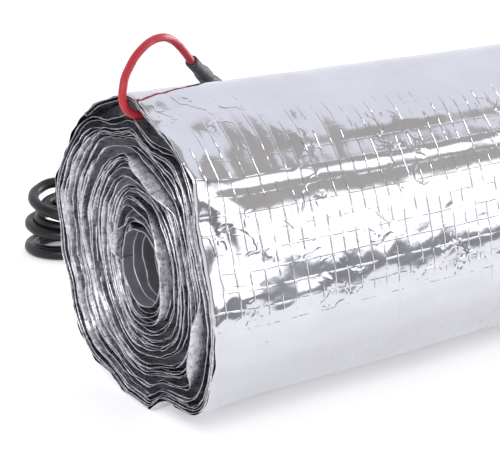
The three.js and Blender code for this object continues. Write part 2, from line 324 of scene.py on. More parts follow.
# %% Extruded sheaths
def extruded_sheath(name, colours, roughness, ior, scuff_mm, bump_mm):
    """An extruded cable sheath: colour between two hex values, scuffed at random."""
    made, tree = new_material(name)
    place = add(tree, "ShaderNodeTexCoord").outputs["Object"]
    scuffs = add(tree, "ShaderNodeTexNoise", {
        "Vector": place, "Scale": 1 / (scuff_mm * MM), "Detail": 4, "Roughness": 0.6,
    }).outputs["Fac"]
    grain = add(tree, "ShaderNodeTexNoise", {
        "Vector": place, "Scale": 1 / (bump_mm * MM), "Detail": 3,
    }).outputs["Fac"]
    colour = ramp(tree, scuffs, [(0.35, colours[0]), (0.68, colours[1])])
    dull = add(tree, "ShaderNodeMapRange", {
        "Value": scuffs, "From Min": 0.4, "From Max": 0.75,
        "To Min": roughness, "To Max": roughness + 0.16,
    }).outputs["Result"]
    bump = add(tree, "ShaderNodeBump", {
        "Height": grain, "Strength": 0.35, "Distance": 0.05 * MM,
    }).outputs["Normal"]
    finish_material(tree, add(tree, "ShaderNodeBsdfPrincipled", {
        "Base Color": colour, "Roughness": dull, "IOR": ior, "Normal": bump,
    }))
    return made


red_sheath = extruded_sheath("extruded_fluoropolymer_red", ("#B42A34", "#A82C3A"), 0.3, 1.42, 9, 0.7)
# PVC has an IOR of about 1.53. A lower one gives the deep black that this lead has.
black_sheath = extruded_sheath("extruded_pvc_black", ("#0F0F11", "#18181B"), 0.32, 1.42, 12, 0.9)
heating_cable.data.materials.append(red_sheath)
cold_lead.data.materials.append(black_sheath)
print("Sheaths:", red_sheath.name, black_sheath.name)

# %% [markdown]
# The shrink sleeve is a tube of cross-linked polyolefin that has shrunk onto both cables. It
# shows what lies in it: narrow over the red cable, a slope, then wide over the black lead. It
# is turned from a profile, as a tube is round, with a slight ripple because none shrinks
# evenly. Its mouth has a wall of its own, so the profile runs back inside at that end.

# %% The shrink sleeve
SLEEVE_MOUTH = Vector((-198.9, 20, 170.3)) * MM
SLEEVE_END = Vector((-179.6, 35.2, 156.8)) * MM
# Distance along the sleeve and radius, in millimetres, from inside the mouth to the far end.
SLEEVE_PROFILE = [
    (3.2, 2.15), (0.9, 2.2), (0.35, 2.35), (0.2, 2.75), (0.45, 3.25), (1.2, 3.5), (4, 3.45),
    (9, 3.42), (13.5, 3.5), (15.5, 3.75), (17.5, 4.2), (19.5, 4.4), (23, 4.42), (26.4, 4.4),
    (27.2, 4.25), (27.5, 4.0), (27.4, 3.78),
]
SLEEVE_SIDES = 40


def grid_object(name, places, wrap=False, uv=None):
    """A mesh from rows of points. Each row can close on itself."""
    rows, columns = places.shape[:2]
    corner = np.arange(rows * columns).reshape(rows, columns)
    if wrap:
        corner = np.concatenate([corner, corner[:, :1]], axis=1)
    faces = np.stack([corner[:-1, :-1], corner[:-1, 1:], corner[1:, 1:], corner[1:, :-1]], axis=-1)
    mesh = bpy.data.meshes.new(name)
    mesh.from_pydata(places.reshape(-1, 3).tolist(), [], faces.reshape(-1, 4).tolist())
    if uv is not None:
        loops = np.empty(len(mesh.loops), dtype=np.int32)
        mesh.loops.foreach_get("vertex_index", loops)
        layer = mesh.uv_layers.new(name="flat_mat")
        layer.data.foreach_set("uv", uv.reshape(-1, 2)[loops].astype(np.float32).ravel())
    mesh.polygons.foreach_set("use_smooth", [True] * len(mesh.polygons))
    mesh.update()
    return add_object(name, mesh)


def turned_along(name, start, end, profile, sides, wobble=0.0, seed=1):
    """A turned piece about the line from start to end, slightly uneven as if shrunk on."""
    axis = (end - start).normalized()
    across = axis.orthogonal().normalized()
    other = axis.cross(across)
    angles = np.linspace(0, 2 * math.pi, sides, endpoint=False)
    chance = np.random.default_rng(seed)
    phases = chance.uniform(0, 2 * math.pi, 3)
    rows = []
    for distance, radius in profile:
        ripple = 1 + wobble * (
            np.sin(2 * angles + phases[0] + distance * 0.25)
            + 0.6 * np.sin(3 * angles + phases[1] - distance * 0.4)
            + 0.4 * np.sin(distance * 1.1 + phases[2])
        )
        centre = np.array(start + axis * distance * MM)
        ring = np.cos(angles)[:, None] * np.array(across) + np.sin(angles)[:, None] * np.array(other)
        rows.append(centre + ring * (radius * MM * ripple)[:, None])
    return grid_object(name, np.array(rows), wrap=True)


sleeve = turned_along(
    "shrink_sleeve", SLEEVE_MOUTH, SLEEVE_END, SLEEVE_PROFILE, SLEEVE_SIDES, 0.018, 7,
)
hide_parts("splice_sleeve")
print("Sleeve:", len(sleeve.data.polygons), "faces")

# %% [markdown]
# Polyolefin that has shrunk under a heat gun has a satin skin with tiny pores, so it shows one
# broad, dull highlight and looks greyer than the lead. Its pores are drawn coarser than real.

# %% Heat-shrunk polyolefin
polyolefin, tree = new_material("heat_shrunk_polyolefin_black")
place = add(tree, "ShaderNodeTexCoord").outputs["Object"]
clouds = add(tree, "ShaderNodeTexNoise", {
    "Vector": place, "Scale": 1 / (4 * MM), "Detail": 5, "Roughness": 0.6,
}).outputs["Fac"]
pores = add(tree, "ShaderNodeTexNoise", {
    "Vector": place, "Scale": 1 / (0.5 * MM), "Detail": 2,
}).outputs["Fac"]
finish_material(tree, add(tree, "ShaderNodeBsdfPrincipled", {
    "Base Color": ramp(tree, clouds, [(0.3, "#3A3A3D"), (0.7, "#48484B")]),
    "Roughness": add(tree, "ShaderNodeMapRange", {
        "Value": clouds, "To Min": 0.42, "To Max": 0.58,
    }).outputs["Result"],
    "IOR": 1.5,
    "Normal": add(tree, "ShaderNodeBump", {
        "Height": pores, "Strength": 0.4, "Distance": 0.06 * MM,
    }).outputs["Normal"],
}))
sleeve.data.materials.append(polyolefin)
print("Sleeve material:", polyolefin.name)

# %% [markdown]
# The roll has sagged on the floor, so its outline is no circle. It is drawn as one smooth
# closed curve through chosen points, seen from the end. Away from the near end the mat is
# drawn tight, and the outline loses the dents that its edge has, so there are two outlines.

# %% The roll's outline
# Sizes are in mm. An outline is seen along X, as (y, z), from the top over the back.
ROLL_HALF = 250
BORE_CENTRE = np.array([-10.7, 75.3])
BORE_RADIUS = 19.8
TURNS = 16
# The mat's free edge lies a tenth of the outline past the top, towards the back.
FREE_EDGE_SHARE = 0.1
END_OUTLINE = [
    (-6, 163), (14, 158), (36, 150), (50, 142), (66, 121), (78, 101), (80, 92), (76, 74),
    (75, 61), (67, 45), (64, 31), (56, 18), (44, 9.5), (24, 5.5), (5, 0), (-16, 0),
    (-30, 10), (-45, 12.5), (-60, 14.5), (-70, 21), (-76, 35), (-80, 62), (-78, 75),
    (-72, 91), (-66, 109), (-63, 127), (-54.5, 140), (-47.5, 145.5), (-37, 150.3), (-20, 157),
]
BODY_OUTLINE = [
    (-6, 163), (14, 158.6), (36, 150), (50, 142), (66, 123), (76, 105), (80, 90), (79, 74),
    (76, 58), (71, 43), (64, 29), (55, 16), (42, 7), (24, 2), (5, 0), (-16, 0),
    (-31, 2.5), (-46, 7), (-60, 14.5), (-70.5, 23), (-77.6, 38), (-80.2, 55), (-78.3, 72),
    (-74, 90), (-69.4, 106), (-65.4, 115.4), (-59, 125.2), (-52.4, 134.8), (-46.4, 143),
    (-36, 150.4), (-20, 158),
]
OUTLINE_STEPS_PER_SPAN = 24


def closed_curve(corners):
    """A closed centripetal Catmull-Rom curve: its points and the length up to each."""
    corners = np.array(corners, float)
    count = len(corners)
    t = np.linspace(0, 1, OUTLINE_STEPS_PER_SPAN, endpoint=False)[:, None]
    spans = []
    for index in range(count):
        a, b, c, d = (corners[(index + k) % count] for k in (-1, 0, 1, 2))
        ab, bc, cd = (np.linalg.norm(q - p) ** 0.5 for p, q in ((a, b), (b, c), (c, d)))
        leave = ((b - a) / ab - (c - a) / (ab + bc) + (c - b) / bc) * bc
        arrive = ((c - b) / bc - (d - b) / (bc + cd) + (d - c) / cd) * bc
        spans.append(
            b * (2 * t**3 - 3 * t**2 + 1) + leave * (t**3 - 2 * t**2 + t)
            + c * (3 * t**2 - 2 * t**3) + arrive * (t**3 - t**2)
        )
    points = np.concatenate(spans + [spans[0][:1]])
    points[:, 1] = np.maximum(points[:, 1], 0)
    lengths = np.concatenate([[0], np.cumsum(np.linalg.norm(np.diff(points, axis=0), axis=1))])
    return points, lengths


end_curve = closed_curve(END_OUTLINE)
body_curve = closed_curve(BODY_OUTLINE)
PERIMETER = float(end_curve[1][-1])
print("Outline length in mm:", round(PERIMETER))

# %% [markdown]
# Every point of the mat is found by a share of the outline's length, so the same share on both
# outlines can be blended. Wrinkles come from smooth noise: random values on a grid with soft
# steps between them. A seed fixes the values, so each run gives the same roll.

# %% Reading the outline, and smooth noise
def outline_at(curve, share):
    """Points of an outline at shares of its length, as y and z in millimetres."""
    points, lengths = curve
    along = np.mod(share, 1) * lengths[-1]
    return np.stack([np.interp(along, lengths, points[:, k]) for k in (0, 1)], axis=-1)


def outward_at(curve, share, reach=0.006):
    """The outward direction of an outline at shares of its length."""
    step = outline_at(curve, share + reach) - outline_at(curve, share - reach)
    normal = np.stack([-step[..., 1], step[..., 0]], axis=-1)
    return normal / np.linalg.norm(normal, axis=-1, keepdims=True)


def softened(curve, reach):
    """A curve with each point moved to the mean of its neighbours within reach, a length share."""
    shares = np.linspace(0, 1, 400, endpoint=False)
    offsets = np.linspace(-reach, reach, 31)
    points = outline_at(curve, shares[:, None] + offsets[None, :]).mean(axis=1)
    points = np.concatenate([points, points[:1]])
    return points, np.linspace(0, 1, len(points))


soft_curve = softened(end_curve, 0.07)


def soft_step(value):
    """A smooth step from 0 to 1, for arrays."""
    value = np.clip(value, 0, 1)
    return value * value * (3 - 2 * value)


def noise(u, v, seed):
    """Smooth noise from -1 to 1 on a grid of unit cells."""
    table = np.random.default_rng(seed).uniform(-1, 1, (256, 256))
    i, j = np.floor(u).astype(int), np.floor(v).astype(int)
    a, b = soft_step(u - i), soft_step(v - j)
    i0, i1, j0, j1 = i % 256, (i + 1) % 256, j % 256, (j + 1) % 256
    low = table[i0, j0] * (1 - a) + table[i1, j0] * a
    high = table[i0, j1] * (1 - a) + table[i1, j1] * a
    return low * (1 - b) + high * b


print("Noise at one place:", round(float(noise(np.array([0.5]), np.array([0.5]), 1)[0]), 3))

# %% [markdown]
# The outermost turn is one long sheet of foil on a scrim: threads in a grid that stand up as
# fine ribs, with small pillows of foil between them, each tilted its own way. That is why the
# foil breaks every reflection into tiles. Handling adds sharp creases. All of it is real
# relief, worked out in arrays, because bump alone would leave the roll's outline straight.

# %% Tiles and creases
CELLS_ALONG = 62
CELLS_ROUND = 57
STEPS_PER_CELL = 4
CELL_ALONG = 2 * ROLL_HALF / CELLS_ALONG
CELL_ROUND = PERIMETER / CELLS_ROUND
# How far the corners of the scrim's cells stand up or down, and how far each cell bulges, in mm.
CORNER_HEIGHT = 0.12
PILLOW_HEIGHT = 0.09
CREASES = 90
# Small sharp dents low in front, where the roll was gripped: how many, and their outline shares.
FLECKS = 46
FLECK_SHARES = (0.7, 0.77)


def crease_relief(x, s, chance):
    """Short sharp creases in the foil, each a small ridge with one steep side."""
    height = np.zeros_like(x)
    for _ in range(CREASES):
        cx, cs = chance.uniform(-ROLL_HALF, ROLL_HALF), chance.uniform(0, PERIMETER)
        angle = chance.normal(0, 0.5) + (math.pi / 2 if chance.random() < 0.35 else 0)
        length, width = chance.uniform(8, 34), chance.uniform(1.5, 4)
        tall = chance.uniform(0.12, 0.42) * (1 if chance.random() < 0.6 else -1)
        along = (x - cx) * math.cos(angle) + (s - cs) * math.sin(angle)
        across = (s - cs) * math.cos(angle) - (x - cx) * math.sin(angle)
        fade = np.clip(1 - (along / length) ** 2, 0, 1)
        height += tall * fade * np.exp(-np.abs(across) / width)
    for _ in range(FLECKS):
        cx = chance.uniform(-ROLL_HALF, ROLL_HALF)
        cs = chance.uniform(*FLECK_SHARES) * PERIMETER
        length, width = chance.uniform(3, 9), chance.uniform(1.6, 2.6)
        fade = np.clip(1 - ((x - cx) / length) ** 2, 0, 1)
        height += chance.uniform(0.2, 0.45) * fade * np.exp(-(((s - cs) / width) ** 2))
    return height


def tile_relief(x, s, chance):
    """The scrim's cells: each is a tilted tile of foil with a soft bulge."""
    u, v = (x + ROLL_HALF) / CELL_ALONG, s / CELL_ROUND
    corners = chance.normal(0, CORNER_HEIGHT, (CELLS_ALONG + 3, CELLS_ROUND + 9))
    i = np.clip(np.floor(u + 1e-6).astype(int), 0, CELLS_ALONG)
    j = np.floor(v + 1e-6).astype(int)
    a, b = np.clip(u - i, 0, 1), np.clip(v - j, 0, 1)
    tilt = (
        corners[i, j] * (1 - a) * (1 - b) + corners[i + 1, j] * a * (1 - b)
        + corners[i, j + 1] * (1 - a) * b + corners[i + 1, j + 1] * a * b
    )
    return tilt + PILLOW_HEIGHT * (1 - (2 * a - 1) ** 2) * (1 - (2 * b - 1) ** 2)


print("Scrim cell in mm:", round(CELL_ALONG, 1), "by", round(CELL_ROUND, 1))

# %% [markdown]
# Heating cable runs beneath the foil as soft ridges, and the whole sheet is wavy. Near its cut
# edges it crumples. The ridges and waves are added to the tiles, all as heights above the
# smooth outline, so that one array holds the whole surface.

# %% The whole relief of the outermost turn
# Each cable run: its share of the outline, its height in mm, and its half width above and
# below its middle in mm. The foil is pressed hard under the run in front.
CABLE_RUNS = [
    (0.872, 0.75, 9, 1.9), (0.7, 0.5, 5, 5), (0.54, 0.8, 5, 5), (0.38, 1.2, 5, 5),
    (0.21, 1.2, 5, 5),
]
EDGE_REACH = 16
LEAST_LIFT = -1.6


def waves(x, s, layers):
    """A sum of waves, each given by its height, its lengths along x and s, and its seed."""
    return sum(tall * noise(x / long_x, s / long_s, seed) for tall, long_x, long_s, seed in layers)


def mat_relief(x, s):
    """The height of the foil above its smooth outline, in millimetres."""
    chance = np.random.default_rng(11)
    height = tile_relief(x, s, chance)
    height += crease_relief(x, s, chance)
    for share, tall, above, below in CABLE_RUNS:
        centre = share * PERIMETER + 1.3 * noise(x / 70, x * 0 + share * 40, 3)
        gap = (s - centre + PERIMETER / 2) % PERIMETER - PERIMETER / 2
        half_width = np.where(gap > 0, above, below)
        height += tall * (1 + 0.25 * noise(x / 22, x * 0 + 5, 4)) * np.exp(-((gap / half_width) ** 2))
    height += waves(x, s, [(0.5, 60, 34, 5), (0.16, 17, 11, 6)])
    for to_end, seed in ((x + ROLL_HALF, 8), (ROLL_HALF - x, 18)):
        crumple = waves(x, s, [(0.5, 7, 9, seed), (0.22, 3.2, 5, seed + 1)])
        height += np.exp(-to_end / EDGE_REACH) * crumple
    return np.maximum(height, LEAST_LIFT)


print("Cable runs under the outermost turn:", len(CABLE_RUNS))

# %% [markdown]
# The turn itself is a grid of points along the roll and round it, four to each cell of the
# scrim. It passes from the end's outline to the body's, and the relief lifts it. A thin sheet
# would show no edge, so a Solidify modifier gives its rim alone the mat's cut edge.

# %% The outermost turn
# The free edge bends down onto the turn below it, over this share of a turn and by so many mm.
LIP_SHARE = 0.035
LIP_DROP = 1.6
# The outline changes from the end's to the body's over this length in mm.
END_BLEND = 30
# Where the turn begins it is tucked under its own end, by so many mm over this share of a turn.
TUCK = 1.4
TUCK_SHARE = 0.06
OUTWARD_REACH = 0.012
CUT_EDGE = 0.3
columns = np.linspace(-ROLL_HALF, ROLL_HALF, CELLS_ALONG * STEPS_PER_CELL + 1)
rows = FREE_EDGE_SHARE + np.linspace(0, 1, CELLS_ROUND * STEPS_PER_CELL + 1)
x, share = np.meshgrid(columns, rows)
to_body = soft_step((ROLL_HALF - np.abs(x)) / END_BLEND)[..., None]
place = outline_at(end_curve, share) * (1 - to_body) + outline_at(body_curve, share) * to_body
normal = outward_at(end_curve, share, OUTWARD_REACH) * (1 - to_body)
normal += outward_at(body_curve, share, OUTWARD_REACH) * to_body
normal /= np.linalg.norm(normal, axis=-1, keepdims=True)
relief = mat_relief(x, share * PERIMETER)
tucked = TUCK * (1 - soft_step((share - FREE_EDGE_SHARE) / TUCK_SHARE))
tucked += LIP_DROP * soft_step((share - FREE_EDGE_SHARE - 1 + LIP_SHARE) / LIP_SHARE)
place = place + normal * (relief - tucked)[..., None]
place[..., 1] = np.maximum(place[..., 1], 0.05 + 0.02 * (place[..., 1] > -50))
edge_wander = 0.9 * noise(share * 40, share * 0, 21) + 0.4 * noise(share * 160, share * 0, 22)
along = x + edge_wander * (np.abs(x) / ROLL_HALF) ** 8 * np.sign(x)
outer_turn = grid_object(
    "foil_outer_turn", np.concatenate([along[..., None], place], axis=-1) * MM,
    uv=np.stack([x, share * PERIMETER], axis=-1) * MM,
)
cut_edge = outer_turn.modifiers.new("cut_edge", "SOLIDIFY")
cut_edge.thickness = CUT_EDGE * MM
cut_edge.use_rim_only = True
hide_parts("foil_mat_roll")
print("Outermost turn:", len(outer_turn.data.polygons), "faces")

# %% [markdown]
# The foil is rolled aluminium, 0.03 mm thick, laminated over a polyester scrim. Rolled foil is
# almost a mirror: it takes its tones from the studio. The threads of the scrim are finer than
# the mesh can hold, so they are a bump, drawn in the flat mat's own millimetres by its UV map.
# A thread is about 0.3 mm wide, and its rib is drawn 1.2 mm wide, to show at all.

# %% Threads of the scrim
THREAD_HALF_WIDTH = 0.6 * MM
THREAD_HEIGHT = 0.17 * MM
THREAD_WANDER = 1.1 * MM
# On top the mat is pulled smooth, and from here on the ribs hardly show.
SMOOTH_FROM = 0.9 * PERIMETER * MM
SMOOTH_TO = 0.95 * PERIMETER * MM


def thread_ribs(tree, coordinate, pitch):
    """Ribs at every multiple of the pitch along one coordinate of the flat mat."""
    distance = add(tree, "ShaderNodeMath", {0: coordinate, 1: pitch / 2}, operation="PINGPONG")
    return add(tree, "ShaderNodeMapRange", {
        "Value": distance.outputs["Value"], "From Min": 0.0, "From Max": THREAD_HALF_WIDTH,
        "To Min": 1.0, "To Max": 0.0,
    }, interpolation_type="SMOOTHSTEP").outputs["Result"]


foil, tree = new_material("rolled_aluminium_foil_on_scrim")
flat = add(tree, "ShaderNodeUVMap", uv_map="flat_mat").outputs["UV"]
wander = add(tree, "ShaderNodeTexNoise", {"Vector": flat, "Scale": 1 / (11 * MM), "Detail": 2})
shifted = add(tree, "ShaderNodeVectorMath", {
    0: flat,
    1: add(tree, "ShaderNodeVectorMath", {
        0: wander.outputs["Color"], 1: (THREAD_WANDER, THREAD_WANDER, 0),
    }, operation="MULTIPLY").outputs["Vector"],
}, operation="ADD")
split = add(tree, "ShaderNodeSeparateXYZ", {"Vector": shifted.outputs["Vector"]})
ribs_round = thread_ribs(tree, split.outputs["X"], CELL_ALONG * MM)
ribs_along = thread_ribs(tree, split.outputs["Y"], CELL_ROUND * MM)
weak_along = add(tree, "ShaderNodeMath", {
    0: ribs_along, 1: 0.4,
}, operation="MULTIPLY").outputs["Value"]
both_ribs = add(tree, "ShaderNodeMath", {
    0: ribs_round, 1: weak_along,
}, operation="MAXIMUM").outputs["Value"]
# The threads stand out only where the foil is pressed onto them.
pressed = add(tree, "ShaderNodeMapRange", {
    "Value": add(tree, "ShaderNodeTexNoise", {
        "Vector": flat, "Scale": 1 / (9 * MM), "Detail": 2,
    }).outputs["Fac"],
    "From Min": 0.4, "From Max": 0.6, "To Min": 0.08, "To Max": 1.0,
}).outputs["Result"]
pulled_smooth = add(tree, "ShaderNodeMapRange", {
    "Value": split.outputs["Y"], "From Min": SMOOTH_FROM, "From Max": SMOOTH_TO,
    "To Min": 1.0, "To Max": 0.15,
}).outputs["Result"]
strength = add(tree, "ShaderNodeMath", {
    0: pressed, 1: pulled_smooth,
}, operation="MULTIPLY").outputs["Value"]
ribs = add(tree, "ShaderNodeMath", {0: both_ribs, 1: strength}, operation="MULTIPLY").outputs["Value"]
print("Threads in mm:", round(CELL_ALONG, 1), "apart, ribs", 2 * THREAD_HALF_WIDTH / MM, "wide")

# %% [markdown]
# Between the threads the foil is crumpled, and handling has left fine creases in patches. A
# crease is drawn where a cloudy pattern crosses its middle value, which gives thin lines that
# wander and end, as real ones do. Bumps are chained, each on the normal of the last.

# %% Crumple and creases of the foil
crumple = add(tree, "ShaderNodeTexVoronoi", {
    "Vector": flat, "Scale": 1 / (3.4 * MM), "Randomness": 1,
}, feature="SMOOTH_F1").outputs["Distance"]
fine = add(tree, "ShaderNodeTexNoise", {
    "Vector": flat, "Scale": 1 / (2.2 * MM), "Detail": 3, "Roughness": 0.55,
}).outputs["Fac"]
rib_bump = add(tree, "ShaderNodeBump", {
    "Height": ribs, "Strength": 1, "Distance": THREAD_HEIGHT,
}).outputs["Normal"]
crumple_bump = add(tree, "ShaderNodeBump", {
    "Height": crumple, "Strength": 0.16, "Distance": 0.25 * MM, "Normal": rib_bump,
}).outputs["Normal"]
cloud = add(tree, "ShaderNodeTexNoise", {
    "Vector": flat, "Scale": 1 / (16 * MM), "Detail": 2, "Roughness": 0.5, "Distortion": 0.3,
}).outputs["Fac"]
off_middle = add(tree, "ShaderNodeMath", {
    0: add(tree, "ShaderNodeMath", {0: cloud, 1: 0.5}, operation="SUBTRACT").outputs["Value"],
}, operation="ABSOLUTE").outputs["Value"]
crease = add(tree, "ShaderNodeMapRange", {
    "Value": off_middle, "From Min": 0.0, "From Max": 0.05, "To Min": 1.0, "To Max": 0.0,
}, interpolation_type="SMOOTHSTEP").outputs["Result"]
patches = add(tree, "ShaderNodeMapRange", {
    "Value": add(tree, "ShaderNodeTexNoise", {
        "Vector": flat, "Scale": 1 / (34 * MM), "Detail": 3,
    }).outputs["Fac"],
    "From Min": 0.52, "From Max": 0.66,
}).outputs["Result"]
creases = add(tree, "ShaderNodeMath", {0: crease, 1: patches}, operation="MULTIPLY").outputs["Value"]
crease_bump = add(tree, "ShaderNodeBump", {
    "Height": creases, "Strength": 1, "Distance": 0.2 * MM, "Normal": crumple_bump,
}).outputs["Normal"]
fine_bump = add(tree, "ShaderNodeBump", {
    "Height": fine, "Strength": 0.2, "Distance": 0.09 * MM, "Normal": crease_bump,
}).outputs["Normal"]
print("Bumps on the foil:", sum(node.type == "BUMP" for node in tree.nodes))

# %% [markdown]
# The metal itself: aluminium's pale, slightly blue grey, nearly even, with a roughness so low
# that the studio's edges stay sharp in it. A thin haze of oxide makes some places duller.

# %% Rolled aluminium foil
tarnish = add(tree, "ShaderNodeTexNoise", {
    "Vector": flat, "Scale": 1 / (38 * MM), "Detail": 4, "Roughness": 0.6,
}).outputs["Fac"]
finish_material(tree, add(tree, "ShaderNodeBsdfPrincipled", {
    "Base Color": ramp(tree, tarnish, [(0.3, "#C9CACF"), (0.7, "#D0D1D6")]),
    "Metallic": 1.0,
    "Roughness": add(tree, "ShaderNodeMapRange", {
        "Value": tarnish, "From Min": 0.3, "From Max": 0.7, "To Min": 0.07, "To Max": 0.15,
    }).outputs["Result"],
    "Normal": fine_bump,
}))
outer_turn.data.materials.append(foil)
print("Outermost turn's material:", foil.name)

# %% [markdown]
# On the ends the mat shows its build: each turn is two foils with the cable's room between
# them. So the end is one long spiral of two thin strips. A spiral of even steps would look
# printed, so this function says where a foil lies at any turn: it keeps to the round bore
# inside and to the roll's own outline outside, and it packs loosely in between.

# %% Where a foil of the wound mat lies
WOUND_TURNS = TURNS - 1
# Before the free edge the turns below the outermost one have sunk away from it: the stretch of
# a turn and the ramp at its start, how far in mm, and the stretch where they meet it again.
LIFT_SHARE = 0.2
LIFT_RAMP = 0.06
LIFT_HEIGHT = 6.2
TOUCH_SHARE = 0.06
# Past the free edge the roll is one turn thinner, and the outer turns spread over this stretch.
SPREAD_SHARE = 0.09


def outline_inside(share, inside):
    """The roll's outline some millimetres inside its end."""
    to_body = soft_step(inside / END_BLEND)[..., None]
    return outline_at(end_curve, share) * (1 - to_body) + outline_at(body_curve, share) * to_body


def wound_place(turn, fraction, outwards, inside):
    """Where a foil of the wound mat lies near the end: y and z in mm. Turns count from the bore."""
    share = FREE_EDGE_SHARE + turn
    depth = (turn + fraction) / TURNS
    angle = 2 * math.pi * share
    loose = np.sin(2 * math.pi * 4 * depth + 1.6 * np.sin(angle + 0.6) + 0.7)
    depth = depth + 0.024 * loose * soft_step((1 - depth) * 6)
    outer = outline_inside(share, inside)
    follows = soft_step((depth - 0.35) / 0.6)[..., None]
    outer = outline_at(soft_curve, share) * (1 - follows) + outer * follows
    direction = outer - BORE_CENTRE
    direction /= np.linalg.norm(direction, axis=-1, keepdims=True)
    inner = BORE_CENTRE + direction * BORE_RADIUS
    past = np.mod(turn, 1)
    spread = (1 - past) / TURNS * soft_step(past / SPREAD_SHARE) * soft_step((depth - 0.5) / 0.4)
    depth = depth + np.where(turn > WOUND_TURNS - 0.001, 0, spread)
    place = inner + (outer - inner) * depth[..., None]
    to_edge = np.mod(FREE_EDGE_SHARE - share, 1)
    lifted = soft_step((LIFT_SHARE - to_edge) / LIFT_RAMP) * soft_step(to_edge / TOUCH_SHARE)
    sunk = -LIFT_HEIGHT * lifted * soft_step((depth - 0.55) / 0.35)
    sunk = np.where(turn > WOUND_TURNS - LIFT_SHARE - LIFT_RAMP, 0, sunk)
    sunk = sunk - LIP_DROP * soft_step((turn - WOUND_TURNS + LIP_SHARE) / LIP_SHARE)
    return place + direction * (sunk + outwards)[..., None]


print("Turns wound inside the outermost one:", WOUND_TURNS)

# %% [markdown]
# Some things set the ends apart from an even spiral. The inner turns have slipped in at the
# back, which bares the outer ones' inner faces, and here and there the knife has pulled a foil
# out. They are kept as short lists, by turn, and the strips below follow them.

# %% What the wound turns did
FOIL_FRACTIONS = (0.86, 0.58)
WOUND_THICKNESS = 58
STEP_ROUND = 2.4
STRIP_DEPTHS = np.array([0, 0.7, 1.6, 3, 5.5, 10, 20, 34])
FOIL_THICKNESS = 0.2
# How far the turns have slipped in at the back, in mm, by turn from the bore outwards.
SLIPPED_TURNS = [0, 2, 4.2, 4.8, 7.6, 8.2, 11.2, 11.8, 13.4, 14.2, 15]
SLIPPED_MM = [8.5, 8.5, 8, 6.2, 6, 3.8, 3.6, 1.2, 1, 0, 0]
# Where the knife pulled a foil out: its turn, half the stretch in turns, how far in mm, and how
# far it bends outwards from the axis for each millimetre, which is negative where it bends in.
PULLED_OUT = [
    (8.84, 0.06, 6, -0.45), (2.67, 0.13, 3.4, -0.45), (11.6, 0.05, 6, -0.45), (1.12, 0.06, 7, 0.35),
]
FARTHEST_IN = -3.5
# The flare at the back: how far the cut edges bend outwards, and over which depth, in mm.
FLARE_HEIGHT = 1.1
FLARE_REACH = 2.6
# The last wound turn lies just under the outermost one, from this turn on.
LAST_TURN_FROM = WOUND_TURNS - 1.05


def evenly_wound():
    """Places in equal steps along the mat: their lengths in mm, and their turns from the bore."""
    means = [BORE_RADIUS + (k + 0.5) / TURNS * WOUND_THICKNESS for k in range(WOUND_TURNS)]
    length = sum(2 * math.pi * radius for radius in means)
    along = np.linspace(0, 1, int(length / STEP_ROUND))
    inner, outer = BORE_RADIUS, BORE_RADIUS + WOUND_THICKNESS
    radius = np.sqrt(inner**2 + along * (outer**2 - inner**2))
    return along * length, (radius - inner) / (outer - inner) * WOUND_TURNS


print("Mat wound inside the outermost turn, in m:", round(evenly_wound()[0][-1] * MM, 2))

# %% [markdown]
# Each strip is a grid: along the mat, and from its cut edge into the roll, with steps that grow
# inwards, because only the edge is seen. The cut edges wander, curl and catch the light, and
# the deeper parts lie quiet. Solidify gives the foil its thickness and a rim of its own.

# %% The wound turns on the ends
def wound_end(name, end, seed):
    """The spiral of foils on one end: end is -1 at the near end and 1 at the far one."""
    run, turn = evenly_wound()
    pieces = []
    for index, fraction in enumerate(FOIL_FRACTIONS):
        spread = 0.14 * noise(run / 38, run * 0 + index, seed + 1)
        wander = 1.5 * noise(turn * 1.7 + index * 9, turn * 0, seed + 2)
        wander += 0.7 * noise(run / 24, run * 0 + index * 3, seed + 3)
        wander += 0.3 * noise(run / 5, run * 0 + index * 7, seed + 4)
        wander = np.where(turn > LAST_TURN_FROM, wander * 0.3 + 1.1, wander) - index * 1.1
        bend = turn * 0
        for middle, half_stretch, pulled, bends_out in PULLED_OUT:
            out = (index == 0) * pulled * np.exp(-(((turn - middle) / half_stretch) ** 4))
            wander += out
            bend += out * bends_out
        runs, depths = np.meshgrid(run, STRIP_DEPTHS, indexing="ij")
        curl = np.exp(-depths / 2.2)
        crumple = 0.55 * noise(runs / 6.5, depths / 5 + index * 11, seed + 5)
        crumple += 0.3 * noise(runs / 2.9, depths / 2.5 + index * 5, seed + 6)
        outwards = curl * (crumple + 0.5 * noise(runs / 30, depths * 0 + index * 2, seed + 7))
        outwards += 0.16 * noise(runs / 9, depths / 6, seed + 8)
        outwards += bend[:, None] * np.exp(-depths / 4)
        turns = np.broadcast_to(turn[:, None], runs.shape)
        fractions = fraction + np.broadcast_to(spread[:, None], runs.shape)
        outwards = np.where(turns > LAST_TURN_FROM, np.minimum(outwards, 0) - 0.4, outwards)
        place = wound_place(turns, fractions, outwards, depths)
        at_back = soft_step((place[..., 0] + 15) / 55)
        flare = FLARE_HEIGHT * np.exp(-depths / FLARE_REACH)
        flare *= 1 + 0.7 * noise(runs / 12, depths * 0 + 4, seed + 9)
        place[..., 0] += flare * at_back * (turns < LAST_TURN_FROM)
        place[..., 1] = np.maximum(place[..., 1], 0.4)
        slipped = np.interp(turn, SLIPPED_TURNS, SLIPPED_MM)[:, None] * at_back
        x = end * (ROLL_HALF - depths - slipped + np.maximum(wander, FARTHEST_IN)[:, None])
        pieces.append(np.concatenate([x[..., None], place], axis=-1))
    joined = np.concatenate([pieces[0], pieces[1][::-1]], axis=0)
    made = grid_object(name, joined * MM)
    thick = made.modifiers.new("foil_thickness", "SOLIDIFY")
    thick.thickness = FOIL_THICKNESS * MM
    thick.offset = 0
    thick.material_offset_rim = 1
    return made


